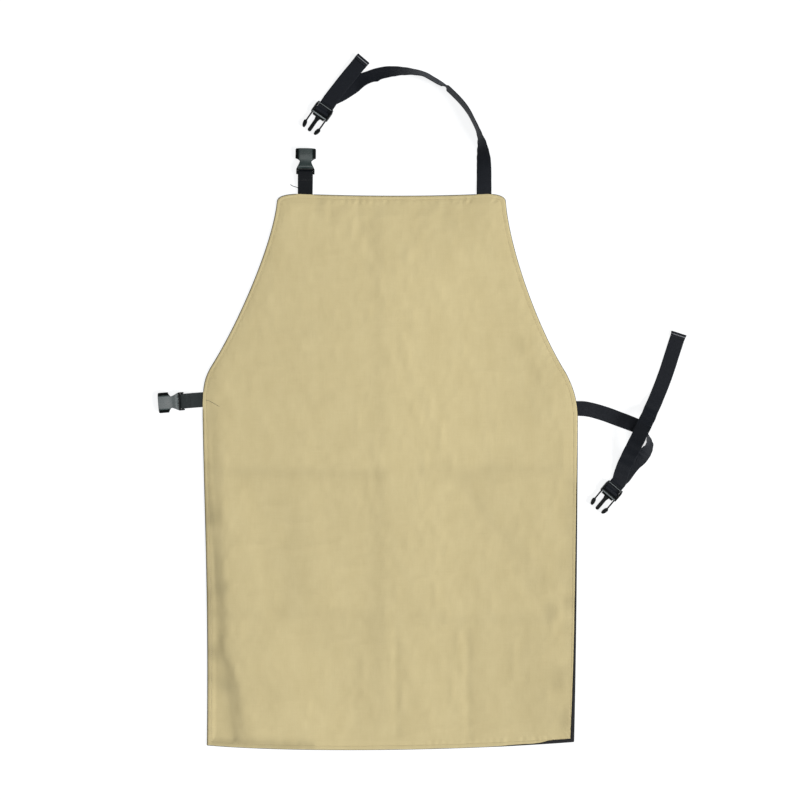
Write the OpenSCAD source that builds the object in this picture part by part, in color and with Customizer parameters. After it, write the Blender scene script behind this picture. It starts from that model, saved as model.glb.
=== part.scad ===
// Lead apron. Two lead-vinyl sheets lie sewn between two cloth covers. A neck strap and a
// waist strap of flat webbing each end in the plug of a side-release buckle, and the two
// sockets hang on short folded tabs. The apron lies on its back with its neck edge at +Y,
// and the origin is on the back cover's underside, at the middle of the panel.

/* [Panel] */
// Widest width of the apron, below the armholes
apron_width = 606; // [560:1:660]
// Length from the neck edge to the hem
apron_length = 900; // [820:1:980]
// Thickness of each cloth cover
cover_t = 0.6; // [0.5:0.1:0.8]
// Thickness of each lead-vinyl sheet
lead_t = 1.4; // [1.4:0.1:1.8]
// Distance from the apron's edge to the lead sheets
seam_margin = 15; // [14:1:18]
// How far the lead sheets' lower left edge slants away from the cover's edge
lead_slant = 50; // [0:5:80]

/* [Webbing] */
// Width of the webbing
web_w = 24; // [23:0.5:25]
// Thickness of the webbing
web_t = 1.3; // [1.1:0.1:1.3]
// Length of the folded hem at a strap's free end
tail_hem = 8; // [6:1:10]

/* [Sockets] */
// Distance from the neck edge to the bar of the neck socket
neck_tab_reach = 34.5; // [33:0.5:42]
// Distance from the apron's side to the bar of the waist socket
waist_tab_reach = 32.5; // [31:0.5:42]
// Length of a socket from its bar to its mouth
socket_reach = 38.5; // [38:0.5:41]

/* [Plugs] */
// Width of a plug's centre prong
prong_w = 6; // [5:0.2:6.4]
// Length from a plug's rear bar to the tip of its prong
prong_reach = 48.5; // [47:0.5:49]

/* [Hidden] */
$fn = 48;

CLOTH = "#ccbf92";
BACKING = "#1b1b1d";
LEAD = "#5a5d60";
THREAD = "#b5a77a";
WEBBING = "#1d2126";
PLUG = "#17191c";
SOCKET = "#4d5557";

// Heights of the layers, from the underside up
mid_z = cover_t + lead_t;
top_z = 2 * mid_z;

// Outline at the nominal size, as Bezier curves with their step counts, anticlockwise
scale_x = apron_width / 606;
scale_y = apron_length / 900;
EDGE_CURVES = [
    [[-297.5, -442], [-160, -454], [100, -451.5], [296, -436.5], 8],
    [[296, -436.5], [300.5, -250], [301, -60], [302, 84], 6],
    [[302, 84], [302, 118], [294, 138], [283, 160], 8],
    [[283, 160], [235, 236], [191, 365], [185.5, 437], 14],
    [[185.5, 437], [185, 446], [175, 449.5], [155, 450], 6],
    [[155, 450], [60, 445], [-60, 446], [-152, 450], 8],
    [[-152, 450], [-172, 449], [-184, 446], [-184.3, 437], 6],
    [[-184.3, 437], [-191, 370], [-246, 242], [-290, 172], 14],
    [[-290, 172], [-301, 154], [-304.6, 140], [-304.6, 105], 8],
    [[-304.6, 105], [-302, -70], [-294.5, -190], [-297.5, -442], 8]
];

// Edge seam: a thread in a shallow channel along the whole edge, on both faces
stitch_inset = 6.5;
thread_w = 0.6;
channel_w = 1;
channel_depth = 0.2;
rim_margin = seam_margin - 0.5;

// Where each piece of webbing enters the edge: point, heading and number of layers
neck_strap_root = [150.6 * scale_x, 450 * scale_y];
neck_tab_root = [-138.8 * scale_x, 449.6 * scale_y];
neck_tab_heading = 89;
waist_strap_root = [301 * scale_x, 102.7 * scale_y];
waist_tab_root = [-304.6 * scale_x, 117.2 * scale_y];
waist_tab_heading = 184.6;
ANCHORS = [
    [neck_strap_root, 90, 1],
    [neck_tab_root, neck_tab_heading, 2],
    [waist_strap_root, 0, 1],
    [waist_tab_root, waist_tab_heading, 2]
];
anchor_depth = 13.5;
tack_l = 9;
tack_h = 0.25;
slack = 0.05;

// A plug: its rails, centre bar, front block and nose, along its own length
plug_rail_in = web_w / 2 + 0.6;
plug_half_w = plug_rail_in + 3;
plug_h = 7;
plug_back = 2.4;
plug_bar_x = 9;
plug_block_x = 15.4;
plug_front = 19.5;
nose_front = 22.3;
nose_half_w = plug_rail_in - 2.2;
latch_x = 18.2;
latch_y = plug_half_w - 2.6;
latch_r = 1.2;
latch_z0 = 1.2;
latch_z1 = 5.8;

// A socket: half its height, and its inner and outer half widths
socket_h = 4.8;
socket_wall = 1.7;
socket_rail_in = web_w / 2 + 0.4;
socket_in = web_w / 2 + 2.4;
socket_out = socket_in + 2;
bar_r = 1.6;
loop_gap = 0.15;

// Webbing routes from the root: x, y, height of the lowest point, and roll about the run.
// The roll turns the webbing from flat (0) onto its edge (90) and over (180).
web_in_z = mid_z - web_t / 2;
strap_start = 4;
tail_lift = web_t + 0.15;
NECK_PLUG = [-256.1, 141.3];
NECK_AXIS = 235;
NECK_ROUTE = [
    [0, -13.5, web_in_z, 0], [0, 8, web_in_z, 0], [0, 20, 0.7, -4], [0, 32, 0, -10],
    [-0.3, 45, 0, -18], [-0.8, 55, 0, -27], [-2.2, 67, 0, -43], [-4.2, 80, 0, -60],
    [-7.6, 92, 0, -77], [-12.2, 104.7, 0, -84], [-18.1, 116.9, 0, -85], [-24, 128.2, 0, -84],
    [-30.7, 138.3, 0, -83], [-38.4, 147.7, 0, -83], [-46.8, 156.4, 0, -83],
    [-58.5, 167.6, 0, -83], [-66, 173.4, 0, -118],
    [-75, 179, 0, -122], [-85, 184.9, 0, -122], [-97, 191.4, 0, -123],
    [-113, 195, 0, -128], [-130, 196.8, 0, -137], [-146, 197, 0, -147], [-160, 195.8, 0, -154],
    [-173, 192.9, 0, -157], [-185.5, 188.7, 0, -158], [-198, 183.6, 0, -163],
    [-214, 172.8, 0, -176], [-230.3, 162.8, 0, -180]
];
NECK_TAIL_ROUTE = [
    [-238.5, 165.5, 1.7, 0], [-226, 181, 2.9, 0], [-211, 199, 3.8, 0], [-204, 207.5, 4, 0],
    [-195.2, 217.8, 4, 0]
];
WAIST_PLUG = [62, -125.6];
WAIST_AXIS = 230;
WAIST_ROUTE = [
    [-12.5, 0, web_in_z, 0], [8, 0, web_in_z, 0], [20, -1.6, 0.7, 0], [32, -4.5, 0, 0],
    [50, -10.2, 0, 0], [68, -17, 0, 0], [82, -22.2, 0, 4], [92, -26.3, 0, 16],
    [100, -30, 0, 42], [106.3, -34.8, 0, 74], [110.3, -40.3, 0, 98], [112.9, -47.5, 0, 116],
    [114.8, -54.5, 0, 126], [113.8, -62, 0, 142], [111, -68.5, 0, 151], [106.8, -74.5, 0, 161],
    [101.3, -81, 0, 171], [93.7, -87.5, 0, 178], [86.1, -96.1, 0, 180], [76.6, -109.3, 0, 180]
];
WAIST_TAIL_ROUTE = [
    [69.3, -115.2, tail_lift, 0], [71.2, -107, 1.8, 0], [75.3, -93.5, 4.5, 0],
    [81.6, -77.5, 9.5, -6], [88.4, -61, 14.5, -14], [95, -45, 19, -21], [101.7, -30, 20, -20],
    [111, -15, 14, -10], [121, 2, 4.5, 0], [133.6, 29, 0, 0], [145.2, 60, 0, 0],
    [154.2, 88, 0, 0], [164.9, 121.2, 0, 0]
];

function unit(v) = v / norm(v);
function heading(a) = [cos(a), sin(a)];
function mix(a, b, t) = a + (b - a) * t;
function ease(t) = t * t * (3 - 2 * t);
function flip(p) = [for (i = [len(p) - 1 : -1 : 0]) p[i]];
function mirrored(p) = [for (q = p) [q[0], -q[1]]];

function bezier(p, n) = [
    for (i = [0 : n - 1])
        let (t = i / n, s = 1 - t)
            s * s * s * p[0] + 3 * s * s * t * p[1] + 3 * s * t * t * p[2] + t * t * t * p[3]
];

function arc(c, r, a0, a1, n) = [for (i = [0 : n]) c + r * heading(mix(a0, a1, i / n))];

// The outline moved inwards by d, without the points that a tight corner folds over
function inner_corner(a, b, c, d) =
    let (u = unit(b - a), v = unit(c - b))
        b + [-u[1] - v[1], u[0] + v[0]] * d / (1 + u * v);

function gap_to_edge(p, a, b) =
    let (run = b - a, t = min(1, max(0, (p - a) * run / (run * run))))
        norm(p - a - run * t);

function inset(d) =
    let (n = len(outline)) [
        for (i = [0 : n - 1])
            let (
                p = inner_corner(outline[(i + n - 1) % n], outline[i], outline[(i + 1) % n], d),
                gaps = [for (j = [0 : n - 1]) gap_to_edge(p, outline[j], outline[(j + 1) % n])]
            )
                if (min(gaps) > d - slack) p
    ];

outline = [for (c = EDGE_CURVES) for (p = bezier(c, c[4])) [p[0] * scale_x, p[1] * scale_y]];
rim_line = inset(rim_margin);
lead_line = inset(seam_margin);
channel_lines = [inset(stitch_inset - channel_w / 2), inset(stitch_inset + channel_w / 2)];
thread_lines = [inset(stitch_inset - thread_w / 2), inset(stitch_inset + thread_w / 2)];

// A smooth curve through the route's points: position, height and roll at u
function on_route(p, u) =
    let (
        n = len(p) - 1, i = min(floor(u), n - 1), t = u - i,
        b = p[i], c = p[i + 1],
        a = i > 0 ? p[i - 1] : 2 * b - c,
        d = i < n - 1 ? p[i + 2] : 2 * c - b,
        q = b + t / 2 * (c - a + t * (2 * a - 5 * b + 4 * c - d + t * (3 * b - a - 3 * c + d)))
    )
        [q[0], q[1], mix(b[2], c[2], ease(t)), mix(b[3], c[3], ease(t))];

// The four corners of the webbing's section at u
function section_at(p, u) =
    let (
        q = on_route(p, u), r = q[3],
        ahead = on_route(p, min(u + 0.02, len(p) - 1)),
        back = on_route(p, max(u - 0.02, 0)),
        h = unit([ahead[0] - back[0], ahead[1] - back[1]]),
        side = [-h[1] * cos(r), h[0] * cos(r), sin(r)] * web_w / 2,
        up = [h[1] * sin(r), -h[0] * sin(r), cos(r)] * web_t / 2,
        c = [q[0], q[1], q[2] + web_t / 2 * abs(cos(r)) + web_w / 2 * abs(sin(r))]
    )
        [c + side + up, c - side + up, c - side - up, c + side - up];

function from_root(root, route) = [for (q = route) [root[0] + q[0], root[1] + q[1], q[2], q[3]]];

// Points straight behind a plug, so that the webbing meets it square
function behind(plug, axis, gaps, lift, roll) = [
    for (g = gaps) let (q = plug - g * heading(axis)) [q[0], q[1], lift, roll]
];

neck_route = from_root(neck_strap_root,
    concat(NECK_ROUTE, behind(NECK_PLUG, NECK_AXIS, [16, 10, strap_start], 0, -180)));
neck_tail_route = from_root(neck_strap_root,
    concat(behind(NECK_PLUG, NECK_AXIS, [strap_start, 10, 16], tail_lift, 0), NECK_TAIL_ROUTE));
waist_route = from_root(waist_strap_root,
    concat(WAIST_ROUTE, behind(WAIST_PLUG, WAIST_AXIS, [16, 10, strap_start], 0, 180)));
waist_tail_route = from_root(waist_strap_root,
    concat(behind(WAIST_PLUG, WAIST_AXIS, [strap_start, 5.5, 8], tail_lift, 0), WAIST_TAIL_ROUTE));

// The webbing of one strip, with its two ends closed. Its two broad faces are split along
// the same diagonals, so that it keeps its thickness where it twists.
module webbing(route, rings) {
    span = (len(route) - 1) / (rings - 1);
    corners = [for (i = [0 : rings - 1]) each section_at(route, i * span)];
    sides = [
        for (i = [0 : rings - 2], j = [0 : 3])
            let (a = 4 * i + j, b = 4 * i + (j + 1) % 4)
                each j < 2 ? [[a, a + 4, b + 4], [a, b + 4, b]] : [[a, a + 4, b], [b, a + 4, b + 4]]
    ];
    last = 4 * rings;
    polyhedron(corners, concat([[0, 1, 2, 3]], sides, [[last - 1, last - 2, last - 3, last - 4]]));
}

module slab(points, z0, z1) {
    translate([0, 0, z0]) linear_extrude(z1 - z0) polygon(points);
}

module band(lines, z0, z1) {
    translate([0, 0, z0])
        linear_extrude(z1 - z0)
            difference() {
                polygon(lines[0]);
                polygon(lines[1]);
            }
}

// A shape drawn from the side, lengthways and upwards, and as wide as given
module from_side(width) {
    rotate([90, 0, 0]) linear_extrude(width, center = true) children();
}

module at_anchor(a) {
    translate([a[0][0], a[0][1], 0]) rotate(a[1]) children();
}

module at_plug(root, plug, axis) {
    translate([root[0] + plug[0], root[1] + plug[1], 0]) rotate(axis) children();
}

module at_neck_plug() {
    at_plug(neck_strap_root, NECK_PLUG, NECK_AXIS) children();
}

module at_waist_plug() {
    at_plug(waist_strap_root, WAIST_PLUG, WAIST_AXIS) children();
}

module at_end(route) {
    last = route[len(route) - 1];
    run = last - route[len(route) - 2];
    translate([last[0], last[1], last[2]]) rotate(atan2(run[1], run[0])) children();
}

// The pockets in the two rims where the webbing ends are held
module anchor_slots() {
    for (a = ANCHORS)
        at_anchor(a)
            translate([-seam_margin - 1, -web_w / 2 - 0.2, mid_z - a[2] * web_t / 2 - slack])
                cube([seam_margin + 7, web_w + 0.4, a[2] * web_t + tack_h + 2 * slack]);
}

module front_cover() {
    color(CLOTH)
        difference() {
            union() {
                slab(outline, top_z - cover_t, top_z);
                band([outline, rim_line], mid_z, top_z - cover_t);
            }
            band(channel_lines, top_z - channel_depth, top_z + 1);
            anchor_slots();
        }
}

module back_cover() {
    color(BACKING)
        difference() {
            union() {
                slab(outline, 0, cover_t);
                band([outline, rim_line], cover_t, mid_z);
            }
            band(channel_lines, -1, channel_depth);
            anchor_slots();
        }
}

// One lead-vinyl sheet, with its lower left edge cut on a slant
module lead_sheet(z0) {
    left = -290 * scale_x;
    low = -500 * scale_y;
    color(LEAD)
        difference() {
            slab(lead_line, z0, z0 + lead_t);
            slab([[left, -10 * scale_y], [left - 60, low], [left + lead_slant * 1.15, low]],
                z0 - 1, z0 + lead_t + 1);
        }
}

module lead_sheet_front() {
    lead_sheet(mid_z);
}

module lead_sheet_back() {
    lead_sheet(cover_t);
}

module edge_stitching() {
    color(THREAD) {
        band(thread_lines, top_z - channel_depth, top_z);
        band(thread_lines, slack, channel_depth);
    }
}

module anchor_tacks() {
    color(THREAD)
        for (a = ANCHORS, y = [-8 : 4 : 8])
            at_anchor(a)
                translate([-tack_l - 2, y - thread_w / 2, mid_z + a[2] * web_t / 2])
                    cube([tack_l, thread_w, tack_h]);
}

// A tab: webbing folded round the socket's bar and sewn into the edge
module tab(anchor, reach) {
    bore_r = bar_r + loop_gap;
    loop_r = bore_r + web_t;
    rise = mid_z - socket_h;
    under = bezier([[-reach + 1, rise - web_t], [-reach + 14, rise - web_t],
        [-14, -loop_r], [0, -loop_r]], 8);
    over = bezier([[0, loop_r], [-8, loop_r], [-reach + 16, rise + web_t],
        [-reach + 1, rise + web_t]], 10);
    ends = [[-reach + 1, rise + web_t], [-reach - anchor_depth, rise + web_t],
        [-reach - anchor_depth, rise - web_t]];
    color(WEBBING)
        at_anchor(anchor)
            translate([reach, 0, socket_h])
                from_side(web_w)
                    difference() {
                        union() {
                            polygon(concat(under, [[0, -loop_r]], over, ends));
                            circle(loop_r);
                        }
                        circle(bore_r);
                        polygon([[-0.6, bore_r - 0.2], [-12, -1], [-0.6, 0.2 - bore_r]]);
                    }
}

module neck_tab() {
    tab(ANCHORS[1], neck_tab_reach);
}

module waist_tab() {
    tab(ANCHORS[3], waist_tab_reach);
}

// A socket, with its bar's axis at the local origin and its mouth towards +X
module socket() {
    rear = 9.5;
    rail_l = 5.5;
    rail_w = 2.3;
    rail_r = 3;
    window = socket_reach - 16;
    waist = socket_in - 5.2;
    rib_x = 12;
    rib_l = socket_reach - rib_x - 1;
    rib_h = 0.6;
    edge = concat(
        bezier([[8, socket_in - 1.5], [10.5, socket_in - 2.4], [14, waist + 0.8], [17.5, waist]], 6),
        bezier([[17.5, waist], [19.5, waist - 0.4], [window - 2.2, waist + 1.6],
            [window + 0.5, socket_in + 0.8]], 6),
        [[window + 0.5, socket_out], [socket_reach - 1.2, socket_out],
            [socket_reach, socket_out - 1.2]]
    );
    color(SOCKET) {
        rotate([90, 0, 0]) cylinder(r = bar_r, h = 2 * socket_rail_in + 0.4, center = true);
        for (s = [-1, 1]) {
            translate([0, s * (socket_rail_in + rail_w / 2), 0]) {
                rotate([90, 0, 0]) cylinder(r = rail_r, h = rail_w, center = true);
                translate([0, -rail_w / 2, -rail_r]) cube([rail_l, rail_w, 2 * rail_r]);
            }
            translate([window, s * (socket_in + socket_out) / 2, 0])
                translate([0, (socket_in - socket_out) / 2, -socket_h])
                    cube([socket_reach - window - 1.2, socket_out - socket_in, 2 * socket_h]);
            translate([0, 0, s * (socket_h - socket_wall / 2) - socket_wall / 2])
                linear_extrude(socket_wall) polygon(concat(edge, flip(mirrored(edge))));
            for (t = [-1, 1])
                translate([rib_x, 4 * t - 0.5, s * (socket_h - socket_wall - rib_h / 2) - rib_h / 2])
                    cube([rib_l, 1, rib_h]);
        }
        slab([[4.6, socket_in + 0.3], [rear, socket_in - 1.7], [rear, 1.7 - socket_in],
            [4.6, -socket_in - 0.3]], -socket_h, socket_h);
    }
}

module neck_socket() {
    at_anchor(ANCHORS[1]) translate([neck_tab_reach, 0, socket_h]) socket();
}

module waist_socket() {
    at_anchor(ANCHORS[3]) translate([waist_tab_reach, 0, socket_h]) socket();
}

// The plug's frame: two rails, a rear bar and a centre bar that hold the webbing by
// friction, a front block with the latches' pockets, its nose, and the centre prong
module plug_frame() {
    tip = prong_w / 2;
    root = tip + 1.4;
    bar_span = 2 * plug_rail_in + 1;
    color(PLUG)
        difference() {
            union() {
                for (s = [-1, 1])
                    translate([0, s * (plug_rail_in + 1.5), 0])
                        from_side(3)
                            polygon([[-plug_back, 1.6], [-plug_back + 1.4, 0], [plug_front, 0],
                                [plug_front, plug_h - 1], [plug_front - 1, plug_h],
                                [-plug_back + 1.4, plug_h], [-plug_back, plug_h - 1.6]]);
                from_side(bar_span)
                    polygon([[-1.6, 4.8], [-1, 4.2], [1, 4.2], [1.6, 4.8],
                        [1.6, 6.2], [0.8, plug_h], [-0.8, plug_h], [-1.6, 6.2]]);
                translate([plug_bar_x, 0, 2.6])
                    from_side(bar_span)
                        polygon([[0, 0.5], [0.5, 0], [2.3, 0], [2.8, 0.5],
                            [2.8, 1.7], [2.3, 2.2], [0.5, 2.2], [0, 1.7]]);
                from_side(bar_span)
                    polygon([[plug_block_x, 0.8], [plug_front, 0.8], [plug_front, plug_h - 1.2],
                        [plug_block_x + 2.4, plug_h], [plug_block_x + 0.8, plug_h],
                        [plug_block_x, plug_h - 0.8]]);
                from_side(2 * nose_half_w)
                    polygon([[plug_front - 1, 0.8], [nose_front - 0.8, 0.8], [nose_front, 1.6],
                        [nose_front, 4.8], [plug_front - 1, plug_h - 1]]);
                translate([0, 0, 2.2])
                    linear_extrude(2.6) {
                        polygon([[nose_front - 1, -root], [nose_front, -root], [nose_front + 5, -tip],
                            [nose_front + 5, tip], [nose_front, root], [nose_front - 1, root]]);
                        translate([nose_front, -tip])
                            square([prong_reach - nose_front - tip, prong_w]);
                        translate([prong_reach - tip, 0]) circle(tip);
                    }
            }
            for (s = [-1, 1])
                translate([latch_x, s * latch_y, latch_z0 - 0.1]) {
                    cylinder(r = latch_r + slack, h = latch_z1 - latch_z0 + 0.2);
                    linear_extrude(latch_z1 - latch_z0 + 0.2)
                        polygon([[0, s * 1.1], [3, s * 1.1], [3, -s * 1.6], [0, -s * 1.1]]);
                }
        }
}

// A latch arm that turns inwards about its knuckle in the plug's front block
module latch(s) {
    head = [[17.8, 1], [18.6, 2.4], [20.6, 2.8], [25, 2], [28, 0.6], [29.6, -1],
        [29.8, -2.6], [28.4, -3.8], [24.6, -4.1], [20, -3.1], [17, -1]];
    color(PLUG)
        translate([latch_x, s * latch_y, latch_z0]) {
            cylinder(r = latch_r, h = latch_z1 - latch_z0);
            linear_extrude(latch_z1 - latch_z0) {
                translate([0, -1]) square([18.5, 2]);
                polygon(s > 0 ? head : mirrored(head));
            }
        }
}

// The webbing between the strap and its tail, woven round the plug's centre bar
module bight() {
    low = web_t / 2;
    high = 6.4 - web_t / 2;
    back = tail_lift + web_t / 2;
    turn = [plug_bar_x + 0.6, 3.9];
    path = concat(
        [[-strap_start, low]],
        arc([turn[0] + 1.6, (low + high) / 2], (high - low) / 2, -90, 90, 12),
        arc(turn, high - turn[1], 90, 180, 6),
        arc([turn[0] - high + back, turn[1]], turn[1] - back, 0, -90, 6),
        [[-strap_start, back]]
    );
    n = len(path) - 1;
    rims = [
        for (i = [0 : n])
            let (run = unit(path[min(i + 1, n)] - path[max(i - 1, 0)]))
                [-run[1], run[0]] * web_t / 2
    ];
    color(WEBBING)
        from_side(web_w)
            polygon(concat(path + rims, flip(path - rims)));
}

module tail(route, rings) {
    color(WEBBING) {
        webbing(route, rings);
        at_end(route) translate([-tail_hem, -web_w / 2, web_t]) cube([tail_hem, web_w, web_t]);
    }
}

// A row of stitches across a folded hem
module tail_stitch(route) {
    color(THREAD)
        at_end(route)
            for (i = [-3 : 3])
                translate([-3.6, 3.2 * i - 1.1, 2 * web_t])
                    cube([thread_w, 2.2, tack_h]);
}

module neck_strap() {
    color(WEBBING) webbing(neck_route, 40);
}

module neck_strap_bight() {
    at_neck_plug() bight();
}

module neck_strap_tail() {
    tail(neck_tail_route, 8);
}

module neck_tail_stitch() {
    tail_stitch(neck_tail_route);
}

module neck_buckle_frame() {
    at_neck_plug() plug_frame();
}

module neck_latch_left() {
    at_neck_plug() latch(1);
}

module neck_latch_right() {
    at_neck_plug() latch(-1);
}

module waist_strap() {
    color(WEBBING) webbing(waist_route, 30);
}

module waist_strap_bight() {
    at_waist_plug() bight();
}

module waist_strap_tail() {
    tail(waist_tail_route, 20);
}

module waist_tail_stitch() {
    tail_stitch(waist_tail_route);
}

module waist_buckle_frame() {
    at_waist_plug() plug_frame();
}

module waist_latch_left() {
    at_waist_plug() latch(1);
}

module waist_latch_right() {
    at_waist_plug() latch(-1);
}

front_cover();
back_cover();
lead_sheet_front();
lead_sheet_back();
edge_stitching();
anchor_tacks();
neck_tab();
neck_socket();
neck_strap();
neck_strap_bight();
neck_strap_tail();
neck_tail_stitch();
neck_buckle_frame();
neck_latch_left();
neck_latch_right();
waist_tab();
waist_socket();
waist_strap();
waist_strap_bight();
waist_strap_tail();
waist_tail_stitch();
waist_buckle_frame();
waist_latch_left();
waist_latch_right();
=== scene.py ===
"""The looks of a lead apron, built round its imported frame.

Lengths in the tables are millimetres, as a pattern cutter would give them, and MM turns them
into the frame's metres. The apron lies on its back, its neck edge at +Y.
"""
import math

import bpy
import numpy as np
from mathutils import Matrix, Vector, geometry


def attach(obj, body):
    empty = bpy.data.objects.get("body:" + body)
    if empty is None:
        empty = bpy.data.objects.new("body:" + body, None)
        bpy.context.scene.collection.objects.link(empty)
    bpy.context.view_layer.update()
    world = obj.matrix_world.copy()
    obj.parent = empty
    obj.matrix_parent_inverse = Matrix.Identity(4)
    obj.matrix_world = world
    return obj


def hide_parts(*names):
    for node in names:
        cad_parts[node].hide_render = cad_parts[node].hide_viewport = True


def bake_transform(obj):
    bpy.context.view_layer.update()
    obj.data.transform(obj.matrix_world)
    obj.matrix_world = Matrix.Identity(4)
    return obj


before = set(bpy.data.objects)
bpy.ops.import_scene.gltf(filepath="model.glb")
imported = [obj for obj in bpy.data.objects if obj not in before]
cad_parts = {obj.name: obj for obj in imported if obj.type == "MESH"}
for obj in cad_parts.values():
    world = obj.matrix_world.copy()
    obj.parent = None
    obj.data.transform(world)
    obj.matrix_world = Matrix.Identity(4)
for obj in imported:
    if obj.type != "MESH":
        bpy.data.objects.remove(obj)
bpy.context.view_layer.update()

MM = 0.001
UP = np.array([0.0, 0.0, 1.0])

# ---------------------------------------------------------------- sizes, in millimetres
WEB_W, WEB_T = 24.0, 1.3
COVER_T, LEAD_T = 0.6, 1.4
MID_Z = COVER_T + LEAD_T
TOP_Z = 2 * MID_Z
STITCH_INSET, STITCH_PITCH, STITCH_LENGTH, THREAD_R = 6.5, 3.2, 2.5, 0.24
TAIL_LIFT, TAIL_HEM = WEB_T + 0.15, 8.0

EDGE_CURVES = [
    [(-297.5, -442), (-160, -454), (100, -451.5), (296, -436.5)],
    [(296, -436.5), (300.5, -250), (301, -60), (302, 84)],
    [(302, 84), (302, 118), (294, 138), (283, 160)],
    [(283, 160), (235, 236), (191, 365), (185.5, 437)],
    [(185.5, 437), (185, 446), (175, 449.5), (155, 450)],
    [(155, 450), (60, 445), (-60, 446), (-152, 450)],
    [(-152, 450), (-172, 449), (-184, 446), (-184.3, 437)],
    [(-184.3, 437), (-191, 370), (-246, 242), (-290, 172)],
    [(-290, 172), (-301, 154), (-304.6, 140), (-304.6, 105)],
    [(-304.6, 105), (-302, -70), (-294.5, -190), (-297.5, -442)],
]

# Webbing routes from each root: x, y, height of the lowest point, and roll about the run
WEB_IN = MID_Z - WEB_T / 2
NECK = {
    "root": (150.6, 450), "plug": (-256.1, 141.3), "axis": 235, "turn": -180,
    "route": [
        (0, -13.5, WEB_IN, 0), (0, 8, WEB_IN, 0), (0, 20, 0.7, -4), (0, 32, 0, -10),
        (-0.3, 45, 0, -18), (-0.8, 55, 0, -27), (-2.2, 67, 0, -43), (-4.2, 80, 0, -60),
        (-7.6, 92, 0, -77), (-12.2, 104.7, 0, -84), (-18.1, 116.9, 0, -85),
        (-24, 128.2, 0, -84), (-30.7, 138.3, 0, -83), (-38.4, 147.7, 0, -83),
        (-46.8, 156.4, 0, -83), (-58.5, 167.6, 0, -83),
        (-66, 173.4, 0, -118), (-75, 179, 0, -122), (-85, 184.9, 0, -122),
        (-97, 191.4, 0, -123), (-113, 195, 0, -128),
        (-130, 196.8, 0, -137), (-146, 197, 0, -147), (-160, 195.8, 0, -154),
        (-173, 192.9, 0, -157), (-185.5, 188.7, 0, -158), (-198, 183.6, 0, -163),
        (-214, 172.8, 0, -176), (-230.3, 162.8, 0, -180),
    ],
    "behind": (16, 10, 4),
    "tail_behind": (4, 10, 16),
    "tail": [
        (-238.5, 165.5, 1.7, 0), (-226, 181, 2.9, 0), (-211, 199, 3.8, 0), (-204, 207.5, 4, 0),
        (-195.2, 217.8, 4, 0),
    ],
}
WAIST = {
    "root": (301, 102.7), "plug": (62, -125.6), "axis": 230, "turn": 180,
    "route": [
        (-12.5, 0, WEB_IN, 0), (8, 0, WEB_IN, 0), (20, -1.6, 0.7, 0), (32, -4.5, 0, 0),
        (50, -10.2, 0, 0), (68, -17, 0, 0), (82, -22.2, 0, 4), (92, -26.3, 0, 16),
        (100, -30, 0, 42), (106.3, -34.8, 0, 74), (110.3, -40.3, 0, 98),
        (112.9, -47.5, 0, 116), (114.8, -54.5, 0, 126), (113.8, -62, 0, 142),
        (111, -68.5, 0, 151), (106.8, -74.5, 0, 161), (101.3, -81, 0, 171),
        (93.7, -87.5, 0, 178), (86.1, -96.1, 0, 180), (76.6, -109.3, 0, 180),
    ],
    "behind": (16, 10, 4),
    "tail_behind": (4, 5.5, 8),
    "tail": [
        (69.3, -115.2, TAIL_LIFT, 0), (71.2, -107, 1.8, 0), (75.3, -93.5, 4.5, 0),
        (81.6, -77.5, 9.5, -6), (88.4, -61, 14.5, -14), (95, -45, 19, -21),
        (101.7, -30, 20, -20), (111, -15, 14, -10), (121, 2, 4.5, 0), (133.6, 29, 0, 0),
        (145.2, 60, 0, 0), (154.2, 88, 0, 0), (164.9, 121.2, 0, 0),
    ],
}
TABS = {
    "neck": {"root": (-138.8, 449.6), "heading": 89.0, "reach": 34.5},
    "waist": {"root": (-304.6, 117.2), "heading": 184.6, "reach": 32.5},
}
SOCKET_Z, LOOP_R, LOOP_REACH = 4.8, 2.4, 3.5
ANCHOR_DEPTH = 13.5
PLUG_MID_Z = 3.5
BAR_STITCH_GAP, BAR_STITCH_HALF, BAR_STITCH_R, BAR_STITCH_RISE = 2.5, 0.95, 0.2, 0.12


# ---------------------------------------------------------------- small helpers
def unit(v):
    v = np.asarray(v, float)
    return v / np.linalg.norm(v, axis=-1, keepdims=True)


def direction(degrees):
    a = math.radians(degrees)
    return np.array([math.cos(a), math.sin(a)])


def smooth(t):
    t = np.clip(t, 0, 1)
    return t * t * (3 - 2 * t)


def bump(x, width):
    return np.exp(-((x / width) ** 2))


def bezier(p, n):
    t = np.linspace(0, 1, n, endpoint=False)[:, None]
    p = np.array(p, float)
    s = 1 - t
    return s**3 * p[0] + 3 * s * s * t * p[1] + 3 * s * t * t * p[2] + t**3 * p[3]


def along(points):
    """Distance along a polyline to each of its points."""
    return np.concatenate([[0], np.cumsum(np.linalg.norm(np.diff(points, axis=0), axis=1))])


def resample(points, n):
    """n points evenly spaced along a polyline."""
    s = along(points)
    at = np.linspace(0, s[-1], n)
    return np.stack([np.interp(at, s, points[:, k]) for k in range(points.shape[1])], axis=1)


def waves(seed, count, shortest, longest):
    """A smooth random signal of distance, the same one every time."""
    r = np.random.default_rng(seed)
    length = r.uniform(shortest, longest, count)
    phase = r.uniform(0, 2 * math.pi, count)
    height = r.uniform(0.4, 1.0, count) / math.sqrt(count)
    return lambda s: sum(h * np.sin(2 * math.pi * s / l + p) for h, l, p in zip(height, length, phase))


def smoothed(values, width):
    """Values round a closed line, averaged over a bell of that many of them."""
    bell = np.hanning(width)
    wrapped = np.concatenate([values[-width:], values, values[:width]])
    return np.convolve(wrapped, bell / bell.sum(), "same")[width:-width]


def vertex_places(mesh):
    """A mesh's vertices, in millimetres."""
    co = np.zeros(len(mesh.vertices) * 3)
    mesh.vertices.foreach_get("co", co)
    return co.reshape(-1, 3) / MM


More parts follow.
